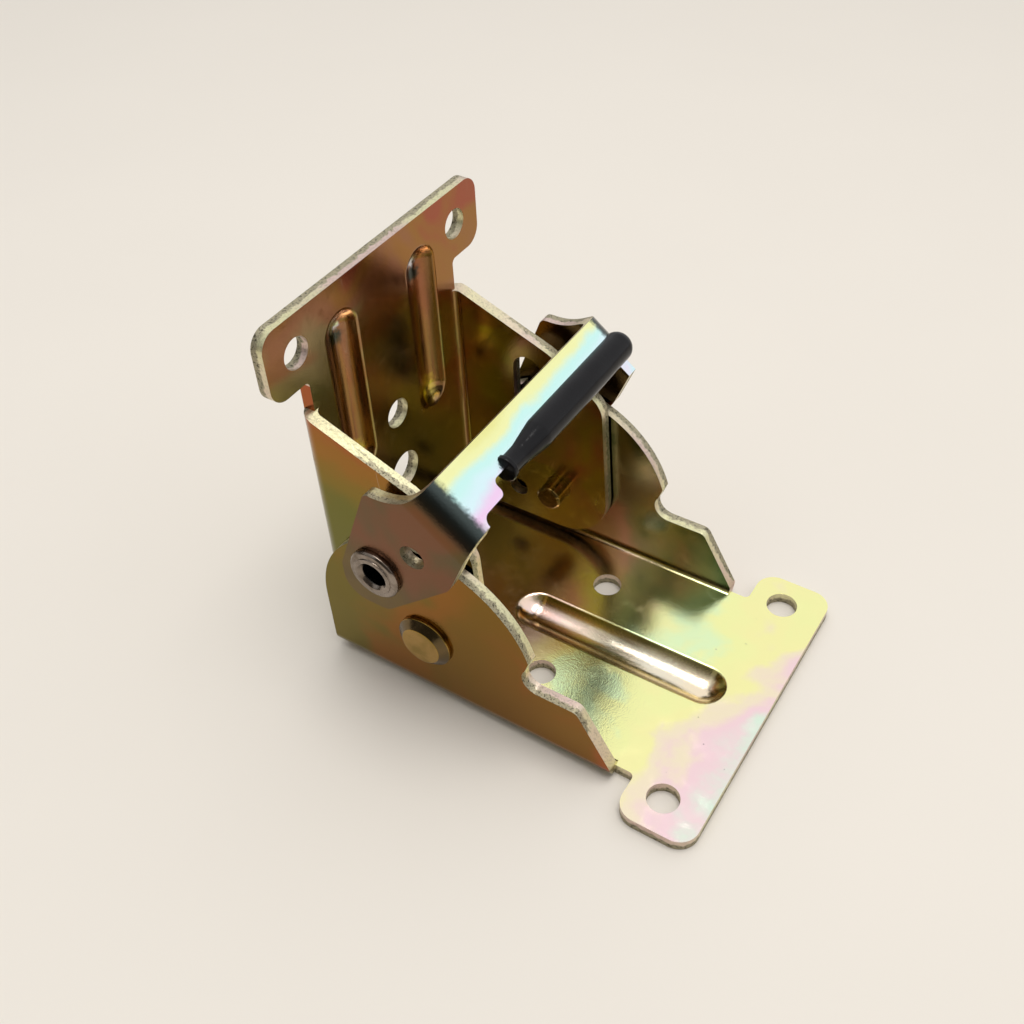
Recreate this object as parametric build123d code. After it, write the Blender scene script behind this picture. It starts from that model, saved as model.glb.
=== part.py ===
from build123d import *
import os
from math import cos, radians, sin, sqrt

os.makedirs("parts", exist_ok=True)

# All sizes in millimetres. X runs along the base, Y across the walls, Z up.

# Sheet and fits
sheet = 2.2
bend_radius = 1.2
wall_gap = 0.45
running_fit = 0.05

# Base bracket
base_width = 48.8
base_front = 53.2
pivot_height = 14.7
arc_radius = 21.6
heel_radius = 3.0
toe_height = 14.2
toe_shoulder = 29.4
toe_end = 35.8
toe_tip_height = 3.0
toe_round = 1.5
catch_depth = 2.4
catch_top = 6.5
base_neck_width = 44.8
base_flange_width = 60.4
base_flange_length = 13.8
base_flange_round = 3.6
flange_inner_round = 1.0
base_screw_radius = 2.8
base_screw_spacing = 48.0
base_screw_inset = 7.7
floor_screw_radius = 2.65
floor_screw_spacing = 24.2
floor_screw_x = 15.1

# Leg bracket
leg_height = 71.6
leg_foot = 4.4
plate_back = 23.0
leg_front = 10.9
wall_top_at_plate = 52.9
brow_x = -1.3
brow_height = 45.3
shoulder_x = 9.1
shoulder_height = 37.6
lobe_radius = 10.3
brow_round = 12.0
shoulder_round = 5.0
leg_neck_width = 39.0
leg_flange_width = 55.2
leg_flange_length = 12.8
leg_flange_round = 3.2
leg_screw_radius = 2.7
leg_screw_spacing = 41.8
leg_screw_inset = 6.5
upper_hole_radius = 2.8
upper_hole_height = 38.5
lower_hole_radius = 3.8
lower_hole_height = 25.1
dimple_hole_radius = 2.0
dimple_hole_x = -9.1
dimple_hole_height = 10.6

# Ribs, pressed outwards from inside each channel
rib_depth = 2.1
rib_edge_round = 0.8
base_rib_width = 8.2
base_rib_start = 3.0
base_rib_end = 45.0
leg_rib_width = 7.5
leg_rib_spacing = 21.0
leg_rib_start = 33.0
leg_rib_end = 66.0

# Main pivot rivets
pivot_radius = 2.5
pivot_head_radius = 5.25
pivot_head_height = 1.8
pivot_head_rim = 0.6
pivot_head_flat = 3.9
pivot_tail = 4.1
pivot_tail_chamfer = 0.4

# Lock rivets, placed from the pivot
lock_x = -6.2
lock_rise = 16.1
lock_lift = 9.3
lock_radius = 2.9
lock_bore_radius = 2.2
lock_head_radius = 4.75
lock_head_height = 1.1
lock_head_round = 0.5
lock_rim_radius = 3.6
lock_rim_height = 0.25
lock_rim_round = 0.15
lock_flare = 0.6
lock_collar_radius = 3.9
lock_collar_height = 0.7
lock_collar_round = 0.4
slot_clearance = 0.1

# Lever, placed from the lock rivet axis
strip_slope = 37.7
strip_back_x = 11.0
strip_back_rise = 22.2
strip_depth = 9.1
strip_corner_round = 1.6
strip_step_y = -15.6
strip_step_round = 1.0
lever_bend_radius = 3.0
horn_x = -0.15
horn_rise = 17.25
horn_round = 1.4
waist_round = 11.2
cheek_x = -7.4
cheek_drop = 1.6
cheek_round = 3.0
heel_x = -7.2
heel_drop = 8.6
ear_heel_round = 4.2
sole_x = 1.2
sole_round = 3.0
knee_x = 14.5
knee_rise = 3.5
knee_round = 5.0
front_edge_angle = 67.6
ear_hole_radius = 2.3
ear_hole_x = 7.9
ear_hole_rise = 7.5

# Grip sleeve, placed along the strip
grip_radius = 2.75
grip_mouth = -12.0
grip_end = 26.2
grip_end_round = 2.3
grip_full_from = -2.5
grip_neck_radius = 1.95
grip_neck_from = -11.0
grip_neck_to = -8.2
grip_lip_radius = 2.25
grip_lip_round = 0.25
grip_taper_round = 4.0
grip_seat = 6.4
grip_bite = 2.6
grip_drop = 0.9
grip_fit = 0.03
grip_margin = 0.5

# Values that follow from the ones above
base_half = base_width / 2
leg_half = base_half - sheet - wall_gap
ear_inside = base_half + wall_gap
ear_outside = ear_inside + sheet
outer_bend = sheet + bend_radius
lock_height = pivot_height + lock_rise
pin_hole = lock_radius + running_fit
slot_radius = lock_radius + slot_clearance
plate_inside = plate_back - sheet


def outline(corners):
    # Closed outline from corners given as (u, v, rounding)
    line = Polyline(*[(u, v) for u, v, r in corners], close=True)
    shape = Sketch() + make_face(line)
    for u, v, r in corners:
        if r > 0:
            nearest = shape.vertices().sort_by_distance((u, v, 0))[0]
            shape = fillet(nearest, r)
    return shape


def folded_section(half_width, height, inside_bend, thickness=sheet):
    # U section of bent sheet, its web's outer face on v = 0
    outside = inside_bend + thickness
    outer = outline([
        (-half_width, height, 0),
        (-half_width, 0, outside),
        (half_width, 0, outside),
        (half_width, height, 0),
    ])
    inner_half = half_width - thickness
    inner = outline([
        (-inner_half, height, 0),
        (-inner_half, thickness, inside_bend),
        (inner_half, thickness, inside_bend),
        (inner_half, height, 0),
    ])
    return outer - inner


def side_solid(shape, half_width):
    # Side view in X and Z, carried through the whole width
    return extrude(Plane.XZ * shape, half_width, both=True)


def cross_holes(places, radius, half_width):
    # Round holes along Y at (x, z) places
    discs = Sketch() + [Pos(x, z) * Circle(radius) for x, z in places]
    return side_solid(discs, half_width)


def capsule(length, radius):
    # Round bar along X with round ends, length measured between the ends' centres
    bar = Rot(0, 90, 0) * Cylinder(radius, length)
    for end in (-1, 1):
        bar += Pos(end * length / 2, 0, 0) * Sphere(radius)
    return bar


def add_rib(body, place, length, width):
    # Rib pressed down through the sheet, on its inner face at z = 0: a ridge behind and a groove in front
    groove_radius = (width ** 2 / 4 + rib_depth ** 2) / (2 * rib_depth)
    centre = Pos(0, 0, groove_radius - rib_depth)
    straight = length - width
    below = extrude(Rectangle(2 * length, 2 * length), -2 * length)
    ridge = centre * capsule(straight, groove_radius + sheet) & Pos(0, 0, -sheet / 2) * below
    groove = centre * capsule(straight, groove_radius)
    ribbed = body + place * ridge - place * groove
    mouth = place * Box(length + sheet, width + sheet, sheet / 4)
    edges = [edge for edge in ribbed.edges() if mouth.is_inside(edge @ 0.5)]
    return fillet(edges, rib_edge_round)


def base_side():
    # Side view of the base walls: round head, catch pocket, shelf and sloping toe
    head = Pos(0, pivot_height) * Circle(arc_radius)
    catch_x = arc_radius - catch_depth
    heel = outline([
        (-arc_radius, 0, heel_radius),
        (catch_x, 0, 0),
        (catch_x, pivot_height, 0),
        (-arc_radius, pivot_height, 0),
    ])
    toe = outline([
        (0, 0, 0),
        (toe_end, 0, 0),
        (toe_end, toe_tip_height, 0),
        (toe_shoulder, toe_height, toe_round),
        (0, toe_height, 0),
    ])
    corner_x = sqrt(arc_radius ** 2 - catch_top ** 2)
    corner_z = pivot_height + catch_top
    pocket_x = catch_x + lock_radius
    pocket_z = toe_height + lock_radius
    pocket = Pos(pocket_x, pocket_z) * Circle(lock_radius)
    pocket += make_face(Polyline(
        (catch_x, pocket_z),
        (corner_x, corner_z),
        (arc_radius + lock_radius, corner_z),
        (arc_radius + lock_radius, toe_height),
        (pocket_x, toe_height),
        (pocket_x, pocket_z),
        close=True,
    ))
    notch_rise = arc_radius + pivot_height - lock_height
    notch = Pos(lock_x, lock_height) * Circle(slot_radius)
    notch += Pos(lock_x, lock_height + notch_rise / 2) * Rectangle(2 * slot_radius, notch_rise)
    return head + heel - pocket + toe - notch


def base_bracket():
    head_top = pivot_height + arc_radius
    section = folded_section(base_half, head_top, bend_radius)
    channel = extrude(Plane.YZ.offset(-arc_radius) * section, toe_end + arc_radius)
    channel &= side_solid(base_side(), base_half)

    # Floor stops short of the rounded heels of the walls
    heel_gap = Rectangle(heel_radius, base_width - 2 * outer_bend, align=(Align.MIN, Align.CENTER))
    channel -= extrude(Pos(-arc_radius, 0, 0) * heel_gap, sheet)

    flange_back = base_front - base_flange_length
    neck = base_neck_width / 2
    wing = base_flange_width / 2
    flange = outline([
        (toe_end, -neck, 0),
        (flange_back, -neck, flange_inner_round),
        (flange_back, -wing, base_flange_round),
        (base_front, -wing, base_flange_round),
        (base_front, wing, base_flange_round),
        (flange_back, wing, base_flange_round),
        (flange_back, neck, flange_inner_round),
        (toe_end, neck, 0),
    ])
    body = channel + extrude(flange, sheet)

    rib_place = Pos((base_rib_start + base_rib_end) / 2, 0, sheet)
    body = add_rib(body, rib_place, base_rib_end - base_rib_start, base_rib_width)

    screw_x = base_front - base_screw_inset
    for side in (-1, 1):
        flange_hole = Pos(screw_x, side * base_screw_spacing / 2) * Circle(base_screw_radius)
        floor_hole = Pos(floor_screw_x, side * floor_screw_spacing / 2) * Circle(floor_screw_radius)
        body -= extrude(flange_hole, sheet)
        body -= extrude(floor_hole, sheet)
    body -= cross_holes([(0, pivot_height)], pivot_radius + running_fit, base_half)
    return body


def leg_side():
    # Side view of the leg walls: sloping brow, front leaning back and a round lobe about the pivot
    return outline([
        (-plate_back, leg_foot, 0),
        (leg_front, leg_foot, lobe_radius),
        (shoulder_x, shoulder_height, shoulder_round),
        (brow_x, brow_height, brow_round),
        (-plate_inside, wall_top_at_plate, 0),
        (-plate_back, wall_top_at_plate, 0),
    ])


def leg_bracket():
    depth = plate_back + leg_front
    section = folded_section(leg_half, depth, bend_radius)
    top_plane = Plane(origin=(-plate_back, 0, wall_top_at_plate), x_dir=(0, 1, 0), z_dir=(0, 0, -1))
    channel = extrude(top_plane * section, wall_top_at_plate - leg_foot)
    channel &= side_solid(leg_side(), leg_half)

    flange_base = leg_height - leg_flange_length
    neck = leg_neck_width / 2
    wing = leg_flange_width / 2
    flange = outline([
        (-neck, shoulder_height, 0),
        (-neck, flange_base, flange_inner_round),
        (-wing, flange_base, leg_flange_round),
        (-wing, leg_height, leg_flange_round),
        (wing, leg_height, leg_flange_round),
        (wing, flange_base, leg_flange_round),
        (neck, flange_base, flange_inner_round),
        (neck, shoulder_height, 0),
    ])
    plate_plane = Plane(origin=(-plate_back, 0, 0), x_dir=(0, 1, 0), z_dir=(1, 0, 0))
    body = channel + extrude(plate_plane * flange, sheet)

    rib_plane = Plane(origin=(-plate_inside, 0, 0), x_dir=(0, 0, 1), z_dir=(1, 0, 0))
    for side in (-1, 1):
        rib_place = rib_plane * Pos((leg_rib_start + leg_rib_end) / 2, side * leg_rib_spacing / 2)
        body = add_rib(body, rib_place, leg_rib_end - leg_rib_start, leg_rib_width)

    screw_z = leg_height - leg_screw_inset
    holes = Sketch()
    for side in (-1, 1):
        holes += Pos(side * leg_screw_spacing / 2, screw_z) * Circle(leg_screw_radius)
    holes += Pos(0, upper_hole_height) * Circle(upper_hole_radius)
    holes += Pos(0, lower_hole_height) * Circle(lower_hole_radius)
    body -= extrude(plate_plane * holes, sheet)

    # Pivot holes, small wall holes and the slots that the lock rivets ride in
    body -= cross_holes([(0, pivot_height)], pivot_radius + running_fit, leg_half)
    body -= cross_holes([(dimple_hole_x, dimple_hole_height)], dimple_hole_radius, leg_half)
    slot = SlotOverall(lock_lift + 2 * slot_radius, 2 * slot_radius, rotation=90)
    body -= side_solid(Pos(lock_x, lock_height + lock_lift / 2) * slot, leg_half)
    return body


def strip_frame():
    # Directions along the strip, out of its face, and the top of its back edge, in side view
    slope = radians(strip_slope)
    along = Vector(cos(slope), -sin(slope))
    up = Vector(sin(slope), cos(slope))
    back = Vector(lock_x + strip_back_x, lock_height + strip_back_rise)
    return along, up, back


def lever_side():
    # Side view of the ears: horn and waist at the back, round heel, straight front edge
    along, up, back = strip_frame()
    horn_z = lock_height + horn_rise
    knee = Vector(lock_x + knee_x, lock_height + knee_rise)
    front = Vector(cos(radians(front_edge_angle)), sin(radians(front_edge_angle)))
    front_top = knee + front * ((sheet - (knee - back).dot(up)) / front.dot(up))
    back_top = back + up * sheet
    waist_x = back.X - sqrt(waist_round ** 2 - (waist_round - (back.Y - horn_z)) ** 2)
    ear = outline([
        (lock_x + horn_x, horn_z, horn_round),
        (lock_x + cheek_x, lock_height - cheek_drop, cheek_round),
        (lock_x + heel_x, lock_height - heel_drop, ear_heel_round),
        (lock_x + sole_x, lock_height - heel_drop, sole_round),
        (knee.X, knee.Y, knee_round),
        (front_top.X, front_top.Y, 0),
        (back_top.X, back_top.Y, 0),
        (back.X, back.Y, 0),
        (waist_x, horn_z, 0),
    ])
    return ear - Pos(waist_x, horn_z + waist_round) * Circle(waist_round)


def strip_plane():
    # Plane on the strip's outer face: x along the strip's depth, y across, z out of the face
    along, up, back = strip_frame()
    return Plane(origin=(back.X, 0, back.Y), x_dir=(along.X, 0, along.Y), z_dir=(up.X, 0, up.Y))


def lever_sheet(fit=0):
    # Folded sheet of the lever before its outline is cut, grown by a fit on every face
    along, up, back = strip_frame()
    reach = strip_back_rise + heel_drop
    start = back + along * reach + up * fit
    section_plane = Plane(
        origin=(start.X, 0, start.Y),
        x_dir=(0, 1, 0),
        z_dir=(-along.X, 0, -along.Y),
    )
    section = folded_section(ear_outside + fit, 2 * reach, lever_bend_radius - fit, sheet + 2 * fit)
    return extrude(section_plane * section, 2 * reach)


def lock_lever():
    body = lever_sheet() & side_solid(lever_side(), ear_outside)

    # Front of the strip: set back between the ears, and further back where the grip sits
    flat_half = ear_outside - sheet - lever_bend_radius
    front = outline([
        (strip_depth, -flat_half, strip_corner_round),
        (strip_depth, strip_step_y, strip_step_round),
        (grip_seat, strip_step_y, strip_step_round),
        (grip_seat, base_width, 0),
        (2 * strip_depth, base_width, 0),
        (2 * strip_depth, -flat_half, 0),
    ])
    body -= extrude(strip_plane() * front, -(grip_drop + grip_radius + grip_margin))

    ear_hole = (lock_x + ear_hole_x, lock_height + ear_hole_rise)
    body -= cross_holes([ear_hole], ear_hole_radius, ear_outside)
    body -= cross_holes([(lock_x, lock_height)], pin_hole, ear_outside)
    return body


def lever_grip():
    # Soft sleeve with a closed far end and a narrow mouth, pushed over the strip's front edge
    profile = outline([
        (0, grip_mouth, 0),
        (grip_lip_radius, grip_mouth, grip_lip_round),
        (grip_lip_radius, grip_neck_from, grip_lip_round),
        (grip_neck_radius, grip_neck_from, 0),
        (grip_neck_radius, grip_neck_to, grip_taper_round),
        (grip_radius, grip_full_from, grip_taper_round),
        (grip_radius, grip_end, grip_end_round),
        (0, grip_end, 0),
    ])
    axis_depth = grip_seat - grip_bite + grip_radius
    sleeve = strip_plane() * Pos(axis_depth, 0, -grip_drop) * revolve(profile, Axis.Y)
    behind = Rectangle(base_width, 2 * base_width, align=(Align.MAX, Align.CENTER))
    behind = extrude(strip_plane() * Pos(grip_seat + grip_fit, 0, sheet) * behind, -base_width)
    return sleeve - (lever_sheet(grip_fit) & behind)


def turned(profile, x, z, side):
    # Turned piece along Y from (radius, distance) corners
    solid = revolve(outline(profile), Axis.Y)
    solid = Pos(x, 0, z) * solid
    return solid if side > 0 else mirror(solid, about=Plane.XZ)


def main_rivet(side):
    tail_end = leg_half - sheet - pivot_tail
    head_end = base_half + pivot_head_height
    return turned([
        (0, tail_end, 0),
        (pivot_radius - pivot_tail_chamfer, tail_end, 0),
        (pivot_radius, tail_end + pivot_tail_chamfer, 0),
        (pivot_radius, base_half, 0),
        (pivot_head_radius, base_half, 0),
        (pivot_head_radius, base_half + pivot_head_rim, 0),
        (pivot_head_flat, head_end, 0),
        (0, head_end, 0),
    ], 0, pivot_height, side)


def lock_rivet(side):
    # Head with a raised rim and the shank through the ear, and the clinched tail in the leg slot
    head_end = ear_outside + lock_head_height
    rim_end = head_end + lock_rim_height
    head = turned([
        (lock_bore_radius, ear_inside, 0),
        (lock_radius, ear_inside, 0),
        (lock_radius, ear_outside, 0),
        (lock_head_radius, ear_outside, 0),
        (lock_head_radius, head_end, lock_head_round),
        (lock_rim_radius, head_end, 0),
        (lock_rim_radius, rim_end, lock_rim_round),
        (lock_bore_radius + lock_flare, rim_end, lock_rim_round),
        (lock_bore_radius, rim_end - lock_flare, 0),
    ], lock_x, lock_height, side)
    leg_inside = leg_half - sheet
    collar_face = leg_inside - running_fit
    collar_end = collar_face - lock_collar_height
    tail = turned([
        (lock_bore_radius, collar_end, 0),
        (lock_collar_radius, collar_end, lock_collar_round),
        (lock_collar_radius, collar_face, 0),
        (lock_radius, collar_face, 0),
        (lock_radius, leg_half, 0),
        (lock_bore_radius, leg_half, 0),
    ], lock_x, lock_height, side)
    return head + tail


parts = {
    "base_bracket": base_bracket(),
    "leg_bracket": leg_bracket(),
    "lock_lever": lock_lever(),
    "lever_grip": lever_grip(),
    "main_rivet_near": main_rivet(-1),
    "main_rivet_far": main_rivet(1),
    "lock_rivet_near": lock_rivet(-1),
    "lock_rivet_far": lock_rivet(1),
}
for name, solid in parts.items():
    export_step(solid, f"parts/{name}.step")
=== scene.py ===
import bpy
import bmesh
import math
from mathutils import Matrix, Vector


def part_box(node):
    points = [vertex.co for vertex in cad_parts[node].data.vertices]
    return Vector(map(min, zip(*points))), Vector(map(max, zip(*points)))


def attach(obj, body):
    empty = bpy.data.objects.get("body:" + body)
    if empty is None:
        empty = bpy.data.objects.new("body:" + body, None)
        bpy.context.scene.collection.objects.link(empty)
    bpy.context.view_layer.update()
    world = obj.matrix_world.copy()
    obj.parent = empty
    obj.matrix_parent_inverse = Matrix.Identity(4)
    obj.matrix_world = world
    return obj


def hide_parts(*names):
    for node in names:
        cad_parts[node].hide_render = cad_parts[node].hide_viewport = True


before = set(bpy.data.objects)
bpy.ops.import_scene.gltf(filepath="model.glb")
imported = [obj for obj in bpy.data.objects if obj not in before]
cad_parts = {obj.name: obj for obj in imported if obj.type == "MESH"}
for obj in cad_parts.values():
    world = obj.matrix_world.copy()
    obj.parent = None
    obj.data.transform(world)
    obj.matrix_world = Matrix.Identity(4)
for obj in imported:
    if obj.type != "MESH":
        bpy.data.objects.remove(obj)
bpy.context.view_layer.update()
print("frame loaded:", ", ".join(sorted(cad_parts)))

mm = 0.001  # the pieces' lengths are in mm, noise scales per metre, colours linear

# Helpers for wiring nodes. A noise is given as scale, detail, roughness, distortion and offset.

def newMaterial(name):
    material = bpy.data.materials.new(name)
    material.use_nodes = True
    tree = material.node_tree
    return material, tree, tree.nodes["Principled BSDF"]


def addNode(tree, kind, **settings):
    node = tree.nodes.new(kind)
    for key, value in settings.items():
        setattr(node, key, value)
    return node


def setInputs(node, **values):
    for key, value in values.items():
        node.inputs[key.replace("_", " ")].default_value = value


def objectPlace(tree):
    return addNode(tree, "ShaderNodeTexCoord").outputs["Object"]


def markOf(tree, name):
    return addNode(tree, "ShaderNodeAttribute", attribute_name=name).outputs["Fac"]


def noiseAt(tree, vector, scale, detail, roughness, distortion=0.0, offset=(0, 0, 0)):
    mapping = addNode(tree, "ShaderNodeMapping")
    setInputs(mapping, Location=offset)
    noise = addNode(tree, "ShaderNodeTexNoise")
    setInputs(noise, Scale=scale, Detail=detail, Roughness=roughness, Distortion=distortion)
    tree.links.new(vector, mapping.inputs["Vector"])
    tree.links.new(mapping.outputs["Vector"], noise.inputs["Vector"])
    return noise.outputs["Fac"]


def stretched(tree, vector, scale):
    mapping = addNode(tree, "ShaderNodeMapping")
    setInputs(mapping, Scale=scale)
    tree.links.new(vector, mapping.inputs["Vector"])
    return mapping.outputs["Vector"]


def rampOf(tree, factor, stops):
    ramp = addNode(tree, "ShaderNodeValToRGB")
    band = ramp.color_ramp
    band.interpolation = "EASE"
    while len(band.elements) > 1:
        band.elements.remove(band.elements[-1])
    band.elements[0].position = stops[0][0]
    band.elements[0].color = (*stops[0][1], 1)
    for place, colour in stops[1:]:
        band.elements.new(place).color = (*colour, 1)
    tree.links.new(factor, ramp.inputs["Fac"])
    return ramp.outputs["Color"]


def mathOf(tree, operation, a, b=None):
    node = addNode(tree, "ShaderNodeMath", operation=operation)
    for socket, value in zip(node.inputs, (a, b)):
        if value is None:
            continue
        if isinstance(value, (int, float)):
            socket.default_value = value
        else:
            tree.links.new(value, socket)
    return node.outputs[0]


def plus(tree, a, b):
    return mathOf(tree, "ADD", a, b)


def times(tree, a, b):
    return mathOf(tree, "MULTIPLY", a, b)


noiseMiddle = 0.5


def wander(tree, noise, share):
    # A noise turned into a small plus or minus
    return times(tree, mathOf(tree, "SUBTRACT", noise, noiseMiddle), share)


def mixColour(tree, factor, a, b):
    # Inputs 6 and 7 and output 2 are the node's colour sockets
    node = addNode(tree, "ShaderNodeMix", data_type="RGBA")
    for socket, value in ((node.inputs["Factor"], factor), (node.inputs[6], a), (node.inputs[7], b)):
        if isinstance(value, tuple):
            socket.default_value = (*value, 1)
        else:
            tree.links.new(value, socket)
    return node.outputs[2]


def rangeOf(tree, value, low, high, toLow=0.0, toHigh=1.0, smooth=True):
    node = addNode(tree, "ShaderNodeMapRange", interpolation_type="SMOOTHSTEP" if smooth else "LINEAR")
    setInputs(node, From_Min=low, From_Max=high, To_Min=toLow, To_Max=toHigh)
    tree.links.new(value, node.inputs["Value"])
    return node.outputs["Result"]


def bumpFrom(tree, shader, height, strength, distance):
    bump = addNode(tree, "ShaderNodeBump")
    setInputs(bump, Strength=strength, Distance=distance * mm)
    tree.links.new(height, bump.inputs["Height"])
    tree.links.new(bump.outputs["Normal"], shader.inputs["Normal"])


# Yellow zinc film, the same on all sheet pieces

zinc = {
    "cloud": (2, 0.5, 0.8), "cloudSpan": (0.3, 0.7),  # its scale is each piece's own
    "fineScale": 7, "fine": (3, 0.6, 0.0), "fineShare": 0.10,
    "bendNoise": (1500, 2, 0.6), "bendShare": 0.25,
    "ribSpan": (0.0, 0.6),
    "spotEdgeNoise": (900, 4, 0.65), "spotEdgeRagged": 3.0, "spotCoreShare": 0.35,
    "scratchStretch": (2, 24, 1.5), "scratchColour": (0.75, 0.72, 0.62),
    "scratchNoise": (30, 0, 0.4, 0.0, (0.3, 0.1, 0.2)), "scratchWidth": 0.006,
    "scratchPatch": (70, 2, 0.5, 0.0, (0.3, 0.1, 0.2)), "scratchSpan": (0.52, 0.62),
    "speckNoise": (1100, 2, 0.5, 0.0, (0.7, 0.2, 0.9)), "speckSpan": (0.77, 0.82),
    "speckShare": 0.7, "speckColour": (0.03, 0.025, 0.015),
    "scuffNoise": (240, 5, 0.65, 0.3, (0.1, 0.7, 0.4)), "scuffSpan": (0.5, 0.8), "scuffRoughness": 0.16,
    "waveNoise": (95, 2, 0.4), "grainNoise": (3800, 2, 0.6),
    "bumpStrength": 0.6, "bumpDistance": 0.1,
}

# Sheared edges: a burnished band, then torn metal with dark pits
sheared = {
    "burnished": (0.72, 0.68, 0.42), "rose": (0.68, 0.52, 0.46),
    "torn": (0.40, 0.36, 0.25), "pits": (0.05, 0.045, 0.030),
    "raggedNoise": (900, 3, 0.65), "raggedShare": 0.9, "tornSpan": (0.40, 0.60),
    "roseNoise": (60, 2, 0.5), "roseSpan": (0.4, 0.65),
    "pitNoise": (2600, 4, 0.7, 0.0, (0.2, 0.4, 0.1)), "pitSpan": (0.50, 0.62),
    "pitShare": 0.30, "tornPitShare": 0.55,
    "roughness": (0.34, 0.55),
    "tearNoise": (1300, 4, 0.7), "tearHeight": 1.2,
}


def filmAndReflectionColour(tree, place, film):
    # The tint drifts along one direction and in soft clouds; it gives the film's own tint and also painted
    # reflection and painted shade
    dot = addNode(tree, "ShaderNodeVectorMath", operation="DOT_PRODUCT")
    dot.inputs[1].default_value = film["direction"]
    tree.links.new(place, dot.inputs[0])
    drift = rangeOf(tree, dot.outputs["Value"], film["start"] * mm, film["end"] * mm, smooth=False)
    clouds = noiseAt(tree, place, film["cloudScale"], *zinc["cloud"], film["shift"])
    cloud = rangeOf(tree, clouds, *zinc["cloudSpan"], smooth=False)
    share = film["cloudShare"]
    level = plus(tree, times(tree, drift, 1 - share), times(tree, cloud, share))
    fine = noiseAt(tree, place, film["cloudScale"] * zinc["fineScale"], *zinc["fine"], film["shift"])
    return rampOf(tree, plus(tree, level, wander(tree, fine, zinc["fineShare"])), film["colours"])


def shearedColour(tree, place, across):
    ragged = wander(tree, noiseAt(tree, place, *sheared["raggedNoise"]), sheared["raggedShare"])
    torn = rangeOf(tree, plus(tree, across, ragged), *sheared["tornSpan"])
    patch = rangeOf(tree, noiseAt(tree, place, *sheared["roseNoise"]), *sheared["roseSpan"])
    bright = mixColour(tree, patch, sheared["burnished"], sheared["rose"])
    colour = mixColour(tree, torn, bright, sheared["torn"])
    pits = rangeOf(tree, noiseAt(tree, place, *sheared["pitNoise"]), *sheared["pitSpan"])
    share = plus(tree, times(tree, torn, sheared["tornPitShare"]), sheared["pitShare"])
    return mixColour(tree, times(tree, pits, share), colour, sheared["pits"]), torn


def roundSpots(tree, place, colour, spots):
    # Small round spots of colour: on the leg they are painted shade and painted highlights at the rib ends,
    # on the base an orange tint at the rib's rear end
    ragged = wander(tree, noiseAt(tree, place, *zinc["spotEdgeNoise"]), zinc["spotEdgeRagged"] * mm)
    for centre, radius, tint in spots:
        distance = addNode(tree, "ShaderNodeVectorMath", operation="DISTANCE")
        distance.inputs[1].default_value = Vector(centre) * mm
        tree.links.new(place, distance.inputs[0])
        reach = plus(tree, distance.outputs["Value"], ragged)
        spot = rangeOf(tree, reach, radius * mm, radius * zinc["spotCoreShare"] * mm)
        colour = mixColour(tree, spot, colour, tint)
    return colour


def hairlines(tree, place):
    # Fine long scratches in a few places
    lines = noiseAt(tree, stretched(tree, place, zinc["scratchStretch"]), *zinc["scratchNoise"])
    offLine = mathOf(tree, "ABSOLUTE", mathOf(tree, "SUBTRACT", lines, noiseMiddle))
    line = rangeOf(tree, offLine, zinc["scratchWidth"], 0.0)
    patch = rangeOf(tree, noiseAt(tree, place, *zinc["scratchPatch"]), *zinc["scratchSpan"])
    return times(tree, line, patch)


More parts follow.
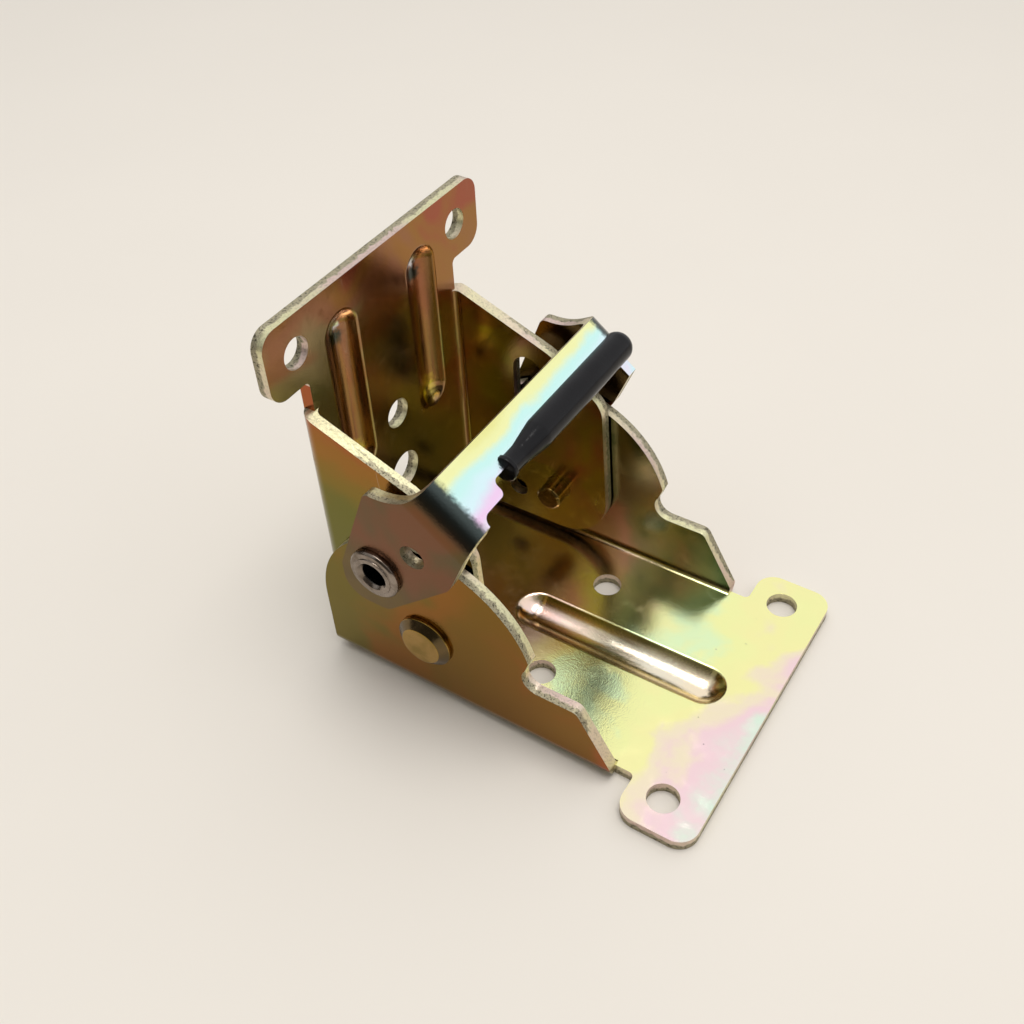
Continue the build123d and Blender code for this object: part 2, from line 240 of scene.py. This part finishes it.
def zincFilmWithPaintedReflection(name, spec):
    material, tree, shader = newMaterial(name)
    place = objectPlace(tree)
    sideways = markOf(tree, "sideways")
    turned = plus(tree, sideways, wander(tree, noiseAt(tree, place, *zinc["bendNoise"]), zinc["bendShare"]))

    # Walls, inner faces and bends get painted reflection and painted shade, darker than the flat faces,
    # chosen by how far a face looks sideways and whether it faces into the channel
    outerReflection = filmAndReflectionColour(tree, place, spec["wall"])
    wall = mixColour(tree, markOf(tree, "inside"), outerReflection, filmAndReflectionColour(tree, place, spec["inside"]))
    face = filmAndReflectionColour(tree, place, spec["face"])
    surface = mixColour(tree, rangeOf(tree, turned, *spec["bendFrom"]), face, spec["bendReflection"])
    surface = mixColour(tree, rangeOf(tree, sideways, *spec["wallFrom"]), surface, wall)
    if "ribTint" in spec:
        rib = rangeOf(tree, markOf(tree, "rib"), *zinc["ribSpan"], 0.0, spec["ribShare"])
        surface = mixColour(tree, rib, surface, spec["ribTint"])
    surface = roundSpots(tree, place, surface, spec["wornAndPaintedLight"])
    if spec["scratches"]:
        scratch = times(tree, hairlines(tree, place), spec["scratches"])
        surface = mixColour(tree, scratch, surface, zinc["scratchColour"])
    speck = rangeOf(tree, noiseAt(tree, place, *zinc["speckNoise"]), *zinc["speckSpan"])
    surface = mixColour(tree, times(tree, speck, zinc["speckShare"]), surface, zinc["speckColour"])

    cut = markOf(tree, "cutEdge")
    cutColour, torn = shearedColour(tree, place, markOf(tree, "across"))
    tree.links.new(mixColour(tree, cut, surface, cutColour), shader.inputs["Base Color"])
    setInputs(shader, Metallic=1.0)

    scuffNoise = noiseAt(tree, place, *zinc["scuffNoise"])
    scuffs = rangeOf(tree, scuffNoise, *zinc["scuffSpan"], 0.0, zinc["scuffRoughness"])
    cutRough = mathOf(tree, "SUBTRACT", rangeOf(tree, torn, 0, 1, *sheared["roughness"]), spec["roughness"])
    rough = plus(tree, times(tree, cut, cutRough), plus(tree, scuffs, spec["roughness"]))
    tree.links.new(rough, shader.inputs["Roughness"])

    # Height: rolling waves and fine grain on the faces, tears on the sheared edges
    waves = times(tree, noiseAt(tree, place, *zinc["waveNoise"]), spec["waves"])
    grain = times(tree, noiseAt(tree, place, *zinc["grainNoise"]), spec["grain"])
    tears = times(tree, noiseAt(tree, place, *sheared["tearNoise"]), times(tree, cut, sheared["tearHeight"]))
    height = plus(tree, plus(tree, waves, grain), tears)
    bumpFrom(tree, shader, height, zinc["bumpStrength"], zinc["bumpDistance"])
    return material


# Meshes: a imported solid's copy, welded and with softened edges

meshing = {
    "weld": 0.002, "flatDegrees": 0.4,
    "bevelSegments": 3, "faceWeight": 80,
}


def weldedCopy(node):
    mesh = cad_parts[node].data.copy()
    mesh.materials.clear()
    bm = bmesh.new()
    bm.from_mesh(mesh)
    bmesh.ops.remove_doubles(bm, verts=bm.verts, dist=meshing["weld"] * mm)
    flat = math.radians(meshing["flatDegrees"])
    bmesh.ops.dissolve_limit(bm, angle_limit=flat, verts=bm.verts, edges=bm.edges)
    for face in bm.faces:
        face.smooth = True
    bm.to_mesh(mesh)
    bm.free()
    return mesh


def addObject(name, data):
    thing = bpy.data.objects.new(name, data)
    bpy.context.scene.collection.objects.link(thing)
    return thing


def appliedMesh(piece):
    depsgraph = bpy.context.evaluated_depsgraph_get()
    mesh = bpy.data.meshes.new_from_object(piece.evaluated_get(depsgraph))
    piece.modifiers.clear()
    piece.data = mesh


def softenEdges(piece, spec, flatFaces=True):
    bevel = piece.modifiers.new("softEdges", "BEVEL")
    bevel.width = spec["edgeRound"] * mm
    bevel.segments = meshing["bevelSegments"]
    bevel.limit_method = "ANGLE"
    bevel.angle_limit = math.radians(spec["edgeDegrees"])
    if flatFaces:
        evenNormals = piece.modifiers.new("evenNormals", "WEIGHTED_NORMAL")
        evenNormals.weight = meshing["faceWeight"]
    appliedMesh(piece)


def addMarks(mesh, name, domain, values):
    mesh.attributes.new(name, "FLOAT", domain).data.foreach_set("value", values)


def finishPiece(piece, material, nodes, body):
    piece.data.materials.clear()
    piece.data.materials.append(material)
    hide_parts(*nodes)
    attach(piece, body)


# Sheet pieces

def sheetPiece(node, name, spec, isCut, acrossAt, ribAt=None):
    piece = addObject(name, weldedCopy(node))
    softenEdges(piece, spec)
    mesh = piece.data
    faces, points = mesh.polygons, mesh.vertices
    # Marks for the finish: ribs, faces that look sideways, inner faces, sheared edges, place across them
    if ribAt:
        addMarks(mesh, "rib", "POINT", [ribAt(point.co / mm) for point in points])
    addMarks(mesh, "sideways", "CORNER", [abs(normal.vector.y) for normal in mesh.corner_normals])
    addMarks(mesh, "inside", "FACE", [float(face.normal.y * face.center.y < 0) for face in faces])
    addMarks(mesh, "cutEdge", "FACE", [float(isCut(face.center / mm, face.normal)) for face in faces])
    addMarks(mesh, "across", "POINT", [acrossAt(point.co / mm) for point in points])
    finishPiece(piece, zincFilmWithPaintedReflection(name + "ZincPaintedReflection", spec), [node], spec["body"])


# bendFrom and wallFrom say how far sideways a face looks where the bend's and the wall's colours begin
base = {
    "body": "base", "halfWidth": 24.4, "sheet": 2.2, "bend": 3.4, "wallEnd": 35,
    "rib": (3.0, 45.0), "ribHalfWidth": 4.1,
    "edgeRound": 0.14, "edgeDegrees": 30,
    "roughness": 0.13, "waves": 0.7, "grain": 0.34, "scratches": 0.0,
    # The bend colour is a painted reflection where the floor turns up into the walls
    "bendFrom": (0.35, 0.65), "wallFrom": (0.72, 0.94), "bendReflection": (0.36, 0.30, 0.10),
    "ribTint": (0.95, 0.72, 0.70), "ribShare": 0.6,
    # An orange tint spot at the rib's rear end
    "wornAndPaintedLight": [((4.6, -1.5, 1.2), 1.6, (0.75, 0.36, 0.10))],  # centre, radius, tint
    "face": {
        "direction": (1.0, -0.12, 0.0), "start": 0, "end": 56,
        "cloudScale": 46, "cloudShare": 0.26, "shift": (0.013, 0.004, 0.0),
        "colours": [(0.00, (0.70, 0.56, 0.36)), (0.20, (0.92, 0.70, 0.56)), (0.33, (0.92, 0.80, 0.42)),
                    (0.43, (0.90, 0.90, 0.44)), (0.52, (0.78, 0.93, 0.54)), (0.60, (0.92, 0.92, 0.42)),
                    (0.72, (0.95, 0.90, 0.42)), (0.80, (0.93, 0.80, 0.58)), (0.88, (0.93, 0.68, 0.70)),
                    (1.00, (0.72, 0.90, 0.72))],
    },
    # Wall colours: painted reflection of a dark brown ground and painted shade on the sideways faces
    "wall": {
        "direction": (1.0, 0.0, -0.35), "start": -23, "end": 34,
        "cloudScale": 40, "cloudShare": 0.26, "shift": (0.1, 0.02, 0.05),
        "colours": [(0.00, (0.165, 0.125, 0.008)), (0.16, (0.160, 0.120, 0.008)),
                    (0.32, (0.27, 0.108, 0.008)), (0.50, (0.21, 0.108, 0.006)),
                    (0.68, (0.23, 0.105, 0.008)), (0.82, (0.34, 0.090, 0.018)),
                    (1.00, (0.165, 0.120, 0.012))],
    },
    # Inner-face colours: painted reflection and painted shade, going dark towards the front and top
    "inside": {
        "direction": (1.0, 0.0, 0.3), "start": -20, "end": 36,
        "cloudScale": 50, "cloudShare": 0.35, "shift": (0.4, 0.02, 0.15),
        "colours": [(0.00, (0.44, 0.26, 0.13)), (0.30, (0.46, 0.34, 0.14)), (0.50, (0.50, 0.34, 0.22)),
                    (0.68, (0.30, 0.30, 0.17)), (0.82, (0.12, 0.16, 0.07)), (1.00, (0.06, 0.09, 0.035))],
    },
}

leg = {
    "body": "leg", "halfWidth": 21.75, "sheet": 2.2, "bend": 3.4, "back": -23.0, "neck": 52.9,
    "ribs": (33.0, 66.0), "ribCentre": 10.5, "ribHalfWidth": 3.75,
    "edgeRound": 0.14, "edgeDegrees": 30,
    "roughness": 0.14, "waves": 0.7, "grain": 0.25, "scratches": 0.15,
    # The bend colour is a painted reflection at the bends
    "bendFrom": (0.4, 0.7), "wallFrom": (0.75, 0.95), "bendReflection": (0.22, 0.12, 0.045),
    # The leg's rib tint is painted shade, darkening the pressed grooves
    "ribTint": (0.29, 0.11, 0.06), "ribShare": 0.75,
    # Painted shade and painted highlights at the rib ends: a dark spot below each rib's top end, a silvery
    # highlight at the top end and a golden highlight near the lower end
    "ribEndPaintedLight": [(60.6, 2.3, (0.05, 0.055, 0.045)), (62.9, 1.7, (0.62, 0.62, 0.66)),
                (36.0, 3.4, (0.60, 0.46, 0.10))],  # height, radius, tint
    "ribEndSpotDepth": 0.4,
    # Plate face colours: the film's own tint, kept dark as a painted reflection of a dark brown ground
    "face": {
        "direction": (0.0, 0.15, 1.0), "start": 20, "end": 72,
        "cloudScale": 48, "cloudShare": 0.4, "shift": (0.02, 0.07, 0.03),
        "colours": [(0.00, (0.22, 0.24, 0.10)), (0.30, (0.28, 0.24, 0.11)), (0.48, (0.32, 0.24, 0.12)),
                    (0.62, (0.31, 0.14, 0.07)), (0.76, (0.32, 0.15, 0.04)), (0.88, (0.34, 0.095, 0.05)),
                    (1.00, (0.31, 0.12, 0.055))],
    },
    # Wall colours: painted reflection and painted shade on the sideways faces
    "wall": {
        "direction": (0.15, 0.0, 1.0), "start": 8, "end": 52,
        "cloudScale": 38, "cloudShare": 0.2, "shift": (0.3, 0.12, 0.01),
        "colours": [(0.00, (0.24, 0.170, 0.022)), (0.30, (0.15, 0.140, 0.022)),
                    (0.50, (0.15, 0.140, 0.020)), (0.66, (0.22, 0.145, 0.016)),
                    (0.80, (0.30, 0.130, 0.016)), (0.92, (0.35, 0.090, 0.024)),
                    (1.00, (0.37, 0.085, 0.040))],
    },
    # Inner-face colours: painted reflection inside the channel
    "inside": {
        "direction": (0.5, 0.0, 0.8), "start": 0, "end": 48,
        "cloudScale": 70, "cloudShare": 0.6, "shift": (0.2, 0.3, 0.1),
        "colours": [(0.00, (0.44, 0.38, 0.09)), (0.28, (0.48, 0.43, 0.08)), (0.50, (0.50, 0.35, 0.12)),
                    (0.72, (0.52, 0.24, 0.15)), (1.00, (0.46, 0.30, 0.14))],
    },
}
leg["wornAndPaintedLight"] = [((leg["back"] + leg["ribEndSpotDepth"], side * leg["ribCentre"], height), radius, tint)
               for side in (-1, 1) for height, radius, tint in leg["ribEndPaintedLight"]]

lever = {
    "body": "lever", "halfWidth": 27.05, "sheet": 2.2, "bend": 5.2,
    "slopeDegrees": 37.7, "corner": (4.8, 0, 53.0), "earSlack": 0.1,
    "edgeRound": 0.14, "edgeDegrees": 30,
    "roughness": 0.15, "waves": 0.6, "grain": 0.55, "scratches": 0.0,
    # The dark grey-blue bend colour is a painted reflection along the bends between strip and ears
    "bendFrom": (0.04, 0.34), "wallFrom": (0.58, 0.99), "bendReflection": (0.070, 0.086, 0.082),
    "wornAndPaintedLight": [],
    "face": {
        "direction": (0.79, 0.05, -0.61), "start": -28.7, "end": -19.2,
        "cloudScale": 55, "cloudShare": 0.22, "shift": (0.0, 0.03, 0.2),
        "colours": [(0.00, (0.88, 0.84, 0.32)), (0.22, (0.94, 0.94, 0.46)), (0.40, (0.64, 0.96, 0.90)),
                    (0.58, (0.74, 0.94, 0.98)), (0.76, (0.94, 0.66, 0.90)), (0.90, (0.90, 0.78, 0.90)),
                    (1.00, (0.70, 0.93, 0.96))],
    },
    # Ear colours: painted reflection and painted shade on the sideways faces
    "wall": {
        "direction": (-0.45, 0.0, -0.9), "start": -47, "end": -20,
        "cloudScale": 60, "cloudShare": 0.36, "shift": (0.06, 0.2, 0.11),
        "colours": [(0.00, (0.065, 0.088, 0.048)), (0.20, (0.11, 0.085, 0.036)),
                    (0.42, (0.175, 0.074, 0.034)), (0.60, (0.13, 0.082, 0.032)),
                    (0.80, (0.14, 0.092, 0.028)), (1.00, (0.12, 0.080, 0.028))],
    },
    # Inner-face colours: painted reflection
    "inside": {
        "direction": (0.5, 0.0, 0.8), "start": 10, "end": 50,
        "cloudScale": 60, "cloudShare": 0.5, "shift": (0.1, 0.1, 0.3),
        "colours": [(0.00, (0.24, 0.22, 0.10)), (0.50, (0.30, 0.20, 0.10)), (1.00, (0.22, 0.22, 0.14))],
    },
}

edgeTurn = 0.6  # share of a normal that tells a sheared edge from a face
ribMargin = 2  # how far past a rib its sloping mouth may reach, which is no edge


def ribShape(along, offset, start, end, halfWidth):
    # 0 at the mouth of a pressed rib, 1 along its middle line
    past = max(start + halfWidth - along, along - end + halfWidth, 0)
    return max(0.0, 1 - math.hypot(past, offset) / halfWidth)


def nearRib(along, offset, start, end, halfWidth):
    return abs(offset) < halfWidth + ribMargin and start - ribMargin < along < end + ribMargin


def wallAcross(point, spec):
    # 0 at a wall's inner face, 1 at its outer one
    return (abs(point.y) - spec["halfWidth"] + spec["sheet"]) / spec["sheet"]


def baseRib(point):
    return ribShape(point.x, point.y, *base["rib"], base["ribHalfWidth"])


def baseCut(point, normal):
    side = abs(point.y) > base["halfWidth"] - base["bend"]
    if side and point.z > base["bend"]:
        return abs(normal.y) < edgeTurn
    if side and point.x < base["wallEnd"]:
        return abs(normal.x) > edgeTurn
    inRib = nearRib(point.x, point.y, *base["rib"], base["ribHalfWidth"])
    return abs(normal.z) < edgeTurn and not inRib


def baseAcross(point):
    if point.z > base["bend"]:
        return wallAcross(point, base)
    return 1 - point.z / base["sheet"]


def legRib(point):
    if point.x > leg["back"] + leg["bend"]:
        return 0.0
    return ribShape(point.z, abs(point.y) - leg["ribCentre"], *leg["ribs"], leg["ribHalfWidth"])


def legCut(point, normal):
    side = abs(point.y) > leg["halfWidth"] - leg["bend"]
    if side and point.x > leg["back"] + leg["bend"]:
        return abs(normal.y) < edgeTurn
    if side and point.z < leg["neck"]:
        return abs(normal.z) > edgeTurn
    inRib = nearRib(point.z, abs(point.y) - leg["ribCentre"], *leg["ribs"], leg["ribHalfWidth"])
    return abs(normal.x) < edgeTurn and not inRib


def legAcross(point):
    if point.x > leg["back"] + leg["bend"]:
        return wallAcross(point, leg)
    return 1 - (point.x - leg["back"]) / leg["sheet"]


# The lever's strip slopes down to the front, so its edges are told along the slope
slope = math.radians(lever["slopeDegrees"])
stripAlong = Vector((math.cos(slope), 0, -math.sin(slope)))
stripUp = Vector((math.sin(slope), 0, math.cos(slope)))
stripCorner = Vector(lever["corner"])


def leverCut(point, normal):
    inStrip = (point - stripCorner).dot(stripUp) > -lever["bend"]
    if inStrip and abs(point.y) < lever["halfWidth"]:
        return abs(normal.dot(stripAlong)) > edgeTurn
    return abs(normal.y) < edgeTurn


def leverAcross(point):
    if abs(point.y) > lever["halfWidth"] - lever["sheet"] - lever["earSlack"]:
        return wallAcross(point, lever)
    return 1 + (point - stripCorner).dot(stripUp) / lever["sheet"]


sheetPiece("base_bracket", "baseBracket", base, baseCut, baseAcross, baseRib)
sheetPiece("leg_bracket", "legBracket", leg, legCut, legAcross, legRib)
sheetPiece("lock_lever", "lockLever", lever, leverCut, leverAcross)
print("sheet pieces made")


# Grip sleeve

grip = {
    "edgeRound": 0.2, "edgeDegrees": 40,
    "dark": (0.004, 0.004, 0.005), "pale": (0.010, 0.009, 0.010), "toneNoise": (160, 3, 0.55),
    "markNoise": (420, 4, 0.6), "markSpan": (0.3, 0.8), "roughness": (0.08, 0.22), "specular": 0.18,
    "dentStretch": (1, 0.45, 1), "dentNoise": (210, 1, 0.5, 0.0, (0.4, 0.2, 0.6)), "dentHeight": 7.0,
    "poreNoise": (900, 3, 0.6), "poreHeight": 0.5,
    "bumpStrength": 0.5, "bumpDistance": 0.1,
}


def gripPlastic(name):
    material, tree, shader = newMaterial(name)
    place = objectPlace(tree)
    tone = noiseAt(tree, place, *grip["toneNoise"])
    tree.links.new(mixColour(tree, tone, grip["dark"], grip["pale"]), shader.inputs["Base Color"])
    marks = noiseAt(tree, place, *grip["markNoise"])
    tree.links.new(rangeOf(tree, marks, *grip["markSpan"], *grip["roughness"]), shader.inputs["Roughness"])
    setInputs(shader, Specular_IOR_Level=grip["specular"])
    dentNoise = noiseAt(tree, stretched(tree, place, grip["dentStretch"]), *grip["dentNoise"])
    pores = times(tree, noiseAt(tree, place, *grip["poreNoise"]), grip["poreHeight"])
    height = plus(tree, times(tree, dentNoise, grip["dentHeight"]), pores)
    bumpFrom(tree, shader, height, grip["bumpStrength"], grip["bumpDistance"])
    return material


def makeGrip():
    piece = addObject("gripSleeve", weldedCopy("lever_grip"))
    softenEdges(piece, grip, flatFaces=False)
    finishPiece(piece, gripPlastic("blackGrip"), ["lever_grip"], "lever")


makeGrip()
print("grip made")


# Rivets: one turned half, set twice about the middle plane by a node tree.
# A darkened place (painted shade in the lock rivet's bore and on the main rivet's tail inside the channel, a
# painted dark reflection on the main rivet's head bevel) is given by two radii, two distances from the
# middle plane and a share.

mainRivet = {
    "body": "base", "shank": 2.5, "head": 5.25, "headHeight": 1.8, "rim": 0.6, "flat": 3.7,
    "tailChamfer": 0.4, "edgeRound": 0.1, "edgeDegrees": 25,
    # Painted dark reflection on the head bevel, painted shade on the tail inside the channel
    "paintedShade": [(3.8, 5.0, 24.8, 30, 0.72), (0, 2.6, 0, 20, 0.35)],
    "finish": "bronzedRivet", "dark": (0.26, 0.165, 0.028), "light": (0.38, 0.23, 0.06), "roughness": 0.12,
}
lockRivet = {
    "body": "lock_pins", "shank": 2.9, "bore": 2.2, "flare": 0.6, "boreFloor": 0.4,
    "head": 4.75, "headHeight": 1.1, "headRound": 0.35, "rim": 3.6, "rimHeight": 0.25,
    "collar": 3.9, "collarHeight": 0.7, "edgeRound": 0.1, "edgeDegrees": 25,
    # Painted shade all through the bore
    "paintedShade": [(0, 2.3, 0, 40, 1.0)],
    "finish": "zincedPin", "dark": (0.15, 0.115, 0.085), "light": (0.30, 0.25, 0.21), "roughness": 0.16,
}

# What both kinds of rivet share
steel = {
    "toneNoise": (240, 4, 0.6, 0.4), "toneSpan": (0.35, 0.65), "paintedShadeColour": (0.05, 0.045, 0.04),
    "wearNoise": (1100, 4, 0.6), "wearSpan": (0.3, 0.8), "wearRoughness": 0.18,
    "bumpStrength": 0.35, "bumpDistance": 0.04,
    "turnSteps": 72, "weld": 0.001,
}


def rivetSteel(spec):
    material, tree, shader = newMaterial(spec["finish"])
    place = objectPlace(tree)
    tone = rangeOf(tree, noiseAt(tree, place, *steel["toneNoise"]), *steel["toneSpan"])
    colour = mixColour(tree, tone, spec["dark"], spec["light"])
    paintedShade = markOf(tree, "paintedShade")
    tree.links.new(mixColour(tree, paintedShade, colour, steel["paintedShadeColour"]), shader.inputs["Base Color"])
    setInputs(shader, Metallic=1.0)
    wear = noiseAt(tree, place, *steel["wearNoise"])
    smooth, wornAndPaintedLight = spec["roughness"], spec["roughness"] + steel["wearRoughness"]
    tree.links.new(rangeOf(tree, wear, *steel["wearSpan"], smooth, wornAndPaintedLight), shader.inputs["Roughness"])
    bumpFrom(tree, shader, wear, steel["bumpStrength"], steel["bumpDistance"])
    return material


def turnedMesh(name, profiles):
    # Profiles are closed runs of (radius, distance from the middle plane), turned about Y
    mesh = bpy.data.meshes.new(name)
    bm = bmesh.new()
    for profile in profiles:
        corners = [bm.verts.new((radius * mm, -distance * mm, 0)) for radius, distance in profile]
        edges = [bm.edges.new((corners[i - 1], corners[i])) for i in range(len(corners))
                 if not (profile[i - 1][0] == 0 and profile[i][0] == 0)]
        bmesh.ops.spin(bm, geom=corners + edges, axis=(0, 1, 0), cent=(0, 0, 0), dvec=(0, 0, 0),
                       angle=math.tau, steps=steel["turnSteps"], use_duplicate=False)
    bmesh.ops.remove_doubles(bm, verts=bm.verts, dist=steel["weld"] * mm)
    bmesh.ops.recalc_face_normals(bm, faces=bm.faces)
    for face in bm.faces:
        face.smooth = True
    bm.to_mesh(mesh)
    bm.free()
    return mesh


def rivetTree():
    tree = bpy.data.node_groups.new("rivetPair", "GeometryNodeTree")
    inputs = {"Geometry": "Geometry", "Count": "Int", "Turn": "Float", "Axis Place": "Vector",
              "Material": "Material"}
    for name, kind in inputs.items():
        tree.interface.new_socket(name, in_out="INPUT", socket_type="NodeSocket" + kind)
    tree.interface.new_socket("Geometry", in_out="OUTPUT", socket_type="NodeSocketGeometry")
    start = addNode(tree, "NodeGroupInput")
    line = addNode(tree, "GeometryNodeMeshLine", mode="OFFSET")
    setInputs(line, Offset=(0, 0, 0))
    tree.links.new(start.outputs["Count"], line.inputs["Count"])
    tree.links.new(start.outputs["Axis Place"], line.inputs["Start Location"])
    angle = times(tree, addNode(tree, "GeometryNodeInputIndex").outputs[0], start.outputs["Turn"])
    rotation = addNode(tree, "ShaderNodeCombineXYZ")
    tree.links.new(angle, rotation.inputs["Z"])
    copies = addNode(tree, "GeometryNodeInstanceOnPoints")
    tree.links.new(line.outputs["Mesh"], copies.inputs["Points"])
    tree.links.new(start.outputs["Geometry"], copies.inputs["Instance"])
    tree.links.new(rotation.outputs[0], copies.inputs["Rotation"])
    real = addNode(tree, "GeometryNodeRealizeInstances")
    tree.links.new(copies.outputs["Instances"], real.inputs[0])
    paint = addNode(tree, "GeometryNodeSetMaterial")
    tree.links.new(real.outputs[0], paint.inputs["Geometry"])
    tree.links.new(start.outputs["Material"], paint.inputs["Material"])
    end = addNode(tree, "NodeGroupOutput")
    tree.links.new(paint.outputs[0], end.inputs[0])
    return tree


def paintedShadeAt(centre, places):
    # How far a place on a rivet is darkened by painted shade
    radius, distance = math.hypot(centre.x, centre.z) / mm, -centre.y / mm
    for fromRadius, toRadius, fromDistance, toDistance, share in places:
        if fromRadius < radius < toRadius and fromDistance < distance < toDistance:
            return share
    return 0.0


def endsOf(node):
    # A near rivet's outer and inner ends, from the middle plane
    low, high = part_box(node)
    return -low[1] / mm, -high[1] / mm


def mainProfiles(spec):
    outer, inner = endsOf("main_rivet_near")
    shank, head, seat = spec["shank"], spec["head"], outer - spec["headHeight"]
    return [[(0, inner), (shank - spec["tailChamfer"], inner), (shank, inner + spec["tailChamfer"]),
             (shank, seat), (head, seat), (head, seat + spec["rim"]), (spec["flat"], outer), (0, outer)]]


def lockProfiles(spec):
    outer, inner = endsOf("lock_rivet_near")
    shank, head, bore, collar = spec["shank"], spec["head"], spec["bore"], spec["collar"]
    headTop = outer - spec["rimHeight"]
    seat = headTop - spec["headHeight"]
    shankEnd = seat - lever["sheet"]
    boreEnd = shankEnd + spec["boreFloor"]
    headPart = [(0, boreEnd), (0, shankEnd), (shank, shankEnd), (shank, seat), (head, seat),
                (head, headTop - spec["headRound"]), (head - spec["headRound"], headTop),
                (spec["rim"], headTop), (spec["rim"], outer), (bore + spec["flare"], outer),
                (bore, outer - spec["flare"]), (bore, boreEnd)]
    collarFace = inner + spec["collarHeight"]
    legOutside = leg["halfWidth"]
    tailPart = [(bore, inner), (collar, inner), (collar, collarFace), (shank, collarFace),
                (shank, legOutside), (bore, legOutside)]
    return [headPart, tailPart]


def rivetPair(name, tree, nodes, profiles, spec):
    piece = addObject(name, turnedMesh(name, profiles))
    softenEdges(piece, spec)
    addMarks(piece.data, "paintedShade", "FACE", [paintedShadeAt(face.center, spec["paintedShade"]) for face in piece.data.polygons])
    low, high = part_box(nodes[0])
    centre = (Vector(low) + Vector(high)) / 2
    material = rivetSteel(spec)
    values = {"Count": len(nodes), "Turn": math.pi, "Axis Place": (centre.x, 0, centre.z),
              "Material": material}
    pair = piece.modifiers.new("rivetPair", "NODES")
    pair.node_group = tree
    for item in tree.interface.items_tree:
        if item.in_out == "INPUT" and item.name in values:
            pair[item.identifier] = values[item.name]
    appliedMesh(piece)
    finishPiece(piece, material, nodes, spec["body"])


pairTree = rivetTree()
rivetPair("mainRivets", pairTree, ["main_rivet_near", "main_rivet_far"], mainProfiles(mainRivet), mainRivet)
rivetPair("lockRivets", pairTree, ["lock_rivet_near", "lock_rivet_far"], lockProfiles(lockRivet), lockRivet)
print("rivets made")


# Floor, lights and camera, in metres

studio = {
    "floorSize": 40, "floorDrop": 0.00005, "floorColour": (0.74, 0.69, 0.62), "floorRoughness": 0.85,
    "toneNoise": (18, 3, 0.5), "toneDepth": 0.97,
    "lampTarget": (0, 0, 0.03),
    "key": {"place": (0.06, 0.03, 0.80), "size": 0.5, "power": 3.4, "colour": (1.0, 0.98, 0.95)},
    "fill": {"place": (-0.5, -0.5, 0.6), "size": 0.8, "power": 0.8, "colour": (0.92, 0.96, 1.0)},
    "brightSide": (0.2, 0.6, 0.75), "glowSpan": (0.05, 0.72),
    "bright": (0.96, 0.97, 0.98), "dim": (0.11, 0.10, 0.09), "farFloor": (0.50, 0.47, 0.43),
}
view = {
    "place": (0.08597, -0.12161, 0.16999), "target": (-0.00383, 0.00891, 0.015), "rollDegrees": -3.07,
    "lens": 41.465, "sensorWidth": 36, "clip": (0.005, 20),
}


def makeFloor():
    bpy.ops.mesh.primitive_plane_add(size=studio["floorSize"], location=(0, 0, -studio["floorDrop"]))
    floor = bpy.context.object
    floor.name = "floor"
    material, tree, shader = newMaterial("paleFloor")
    tone = noiseAt(tree, objectPlace(tree), *studio["toneNoise"])
    low = tuple(channel * studio["toneDepth"] for channel in studio["floorColour"])
    tree.links.new(mixColour(tree, tone, low, studio["floorColour"]), shader.inputs["Base Color"])
    setInputs(shader, Roughness=studio["floorRoughness"])
    floor.data.materials.append(material)


def addLamp(name):
    spec = studio[name]
    light = bpy.data.lights.new(name, "AREA")
    light.shape = "DISK"
    light.size = spec["size"]
    light.energy = spec["power"]
    light.color = spec["colour"]
    lamp = addObject(name, light)
    lamp.location = spec["place"]
    lamp.rotation_mode = "QUATERNION"
    aim = Vector(studio["lampTarget"]) - Vector(spec["place"])
    lamp.rotation_quaternion = aim.to_track_quat("-Z", "Y")


def makeWorld():
    world = bpy.data.worlds.new("softRoom")
    bpy.context.scene.world = world
    world.use_nodes = True
    tree = world.node_tree
    background = tree.nodes["Background"]
    towards = addNode(tree, "ShaderNodeVectorMath", operation="DOT_PRODUCT")
    towards.inputs[1].default_value = Vector(studio["brightSide"]).normalized()
    tree.links.new(addNode(tree, "ShaderNodeTexCoord").outputs["Generated"], towards.inputs[0])
    glow = rangeOf(tree, towards.outputs["Value"], *studio["glowSpan"])
    room = mixColour(tree, glow, studio["dim"], studio["bright"])
    # The camera itself sees the far floor's tone, so a low view has no hard line behind the part
    seen = addNode(tree, "ShaderNodeLightPath").outputs["Is Camera Ray"]
    tree.links.new(mixColour(tree, seen, room, studio["farFloor"]), background.inputs["Color"])
    setInputs(background, Strength=1.0)


def makeCamera():
    place, target, roll = Vector(view["place"]), Vector(view["target"]), math.radians(view["rollDegrees"])
    back = (place - target).normalized()
    right = (-back).cross(Vector((0, 0, 1))).normalized()
    up = right.cross(-back)
    turnedRight = math.cos(roll) * right + math.sin(roll) * up
    turnedUp = -math.sin(roll) * right + math.cos(roll) * up
    turn = Matrix((turnedRight, turnedUp, back)).transposed().to_4x4()
    camera = addObject("camera", bpy.data.cameras.new("camera"))
    camera.matrix_world = Matrix.Translation(place) @ turn
    camera.data.sensor_width = view["sensorWidth"]
    camera.data.lens = view["lens"]
    camera.data.clip_start, camera.data.clip_end = view["clip"]
    bpy.context.scene.camera = camera


makeFloor()
makeWorld()
addLamp("key")
addLamp("fill")
makeCamera()
bpy.context.scene.view_settings.view_transform = "Standard"
print("studio made")
